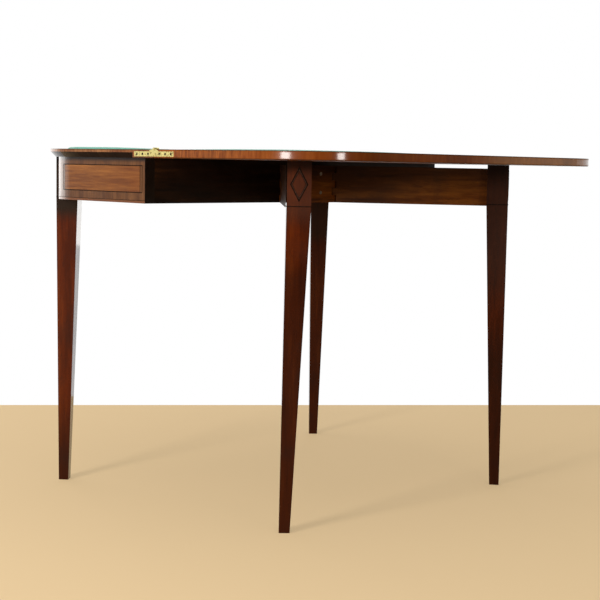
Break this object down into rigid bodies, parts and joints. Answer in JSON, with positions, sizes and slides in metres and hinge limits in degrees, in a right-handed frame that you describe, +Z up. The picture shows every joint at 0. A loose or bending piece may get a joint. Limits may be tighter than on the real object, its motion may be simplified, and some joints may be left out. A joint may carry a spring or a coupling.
{
  "type": "fold-over card table",
  "caption": "D-shaped fold-over card table with a baize-lined top, a leaf that folds over on brass edge hinges, tapered legs and swinging gates that carry the open leaf.",
  "frame": {"origin": "on the floor under the middle of the fold line, table standing open", "axes": "+X along the fold line, +Y towards the fixed half of the top, which is the front when the table is shut, +Z up"},
  "size_m": [0.946, 0.906, 0.7436],
  "materials": {
    "mahogany_top": "polished mahogany, crossbanded round the baize",
    "mahogany_frieze": "polished mahogany veneer with dark stringing",
    "mahogany_leg": "dark polished mahogany",
    "gate_wood": "unpolished secondary hardwood, darkened with age",
    "secondary_wood": "unpolished secondary wood, darkened with age",
    "baize": "napped green wool baize",
    "brass": "worn polished brass",
    "steel": "dull slotted wood screws and pins"
  },
  "bodies": {
    "table": {"top_fixed": "mahogany_top", "baize_fixed": "baize", "hinge_fixed_left": "brass", "hinge_fixed_right": "brass", "hinge_pin_left": "brass", "hinge_pin_right": "brass", "hinge_screws_fixed": "brass", "frieze_front": "mahogany_frieze", "frieze_end_left": "mahogany_frieze", "frieze_end_right": "mahogany_frieze", "back_rail": "secondary_wood", "cross_rail": "secondary_wood", "glue_blocks": "secondary_wood", "pocket_screws": "steel", "front_leg_left": "mahogany_leg", "front_leg_right": "mahogany_leg", "hinge_rail": "gate_wood", "hinge_rail_screws": "steel", "gate_pin_left": "steel", "gate_pin_right": "steel"},
    "leaf": {"top_leaf": "mahogany_top", "baize_leaf": "baize", "hinge_leaf_left": "brass", "hinge_leaf_right": "brass", "hinge_screws_leaf": "brass"},
    "gate_left": {"gate_rail_left": "gate_wood", "gate_leg_left": "mahogany_leg"},
    "gate_right": {"gate_rail_right": "gate_wood", "gate_leg_right": "mahogany_leg"}
  },
  "joints": [
    {"name": "leaf_fold", "type": "hinge", "parent": "table", "child": "leaf", "pos_m": [0, 0, 0.7404], "axis": [-1, 0, 0], "range_deg": [0, 180]},
    {"name": "gate_left_swing", "type": "hinge", "parent": "table", "child": "gate_left", "pos_m": [-0.074, 0.036, 0.632], "axis": [0, 0, -1], "range_deg": [-42.5, 47.5]},
    {"name": "gate_right_swing", "type": "hinge", "parent": "table", "child": "gate_right", "pos_m": [0.074, 0.036, 0.632], "axis": [0, 0, 1], "range_deg": [-35.5, 54.5]}
  ]
}
